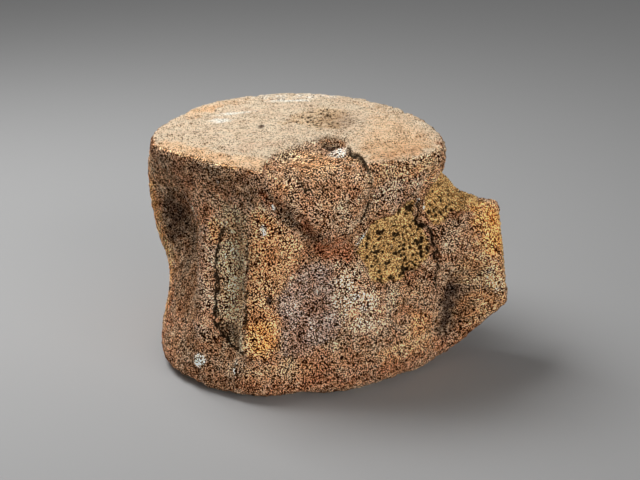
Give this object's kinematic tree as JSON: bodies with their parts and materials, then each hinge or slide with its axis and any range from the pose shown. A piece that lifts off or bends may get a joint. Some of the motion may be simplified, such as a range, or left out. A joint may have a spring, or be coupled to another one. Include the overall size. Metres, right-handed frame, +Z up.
{
  "type": "whale vertebra",
  "caption": "Worn whale vertebra: a drum-shaped body with flared rims, a broken process at one side, and a spongy, pitted end face.",
  "frame": {"origin": "on the floor, under the middle of the lower end face", "axes": "+Z up along the length of the vertebra's body; -Y towards the picture's camera; +X towards the broken transverse process at the right"},
  "size_m": [0.3017, 0.2569, 0.1925],
  "materials": {
    "stained_bone": "matte, porous, stained brown, with paler end faces"
  },
  "bodies": {
    "root": {"vertebra": "stained_bone"}
  },
  "joints": []
}
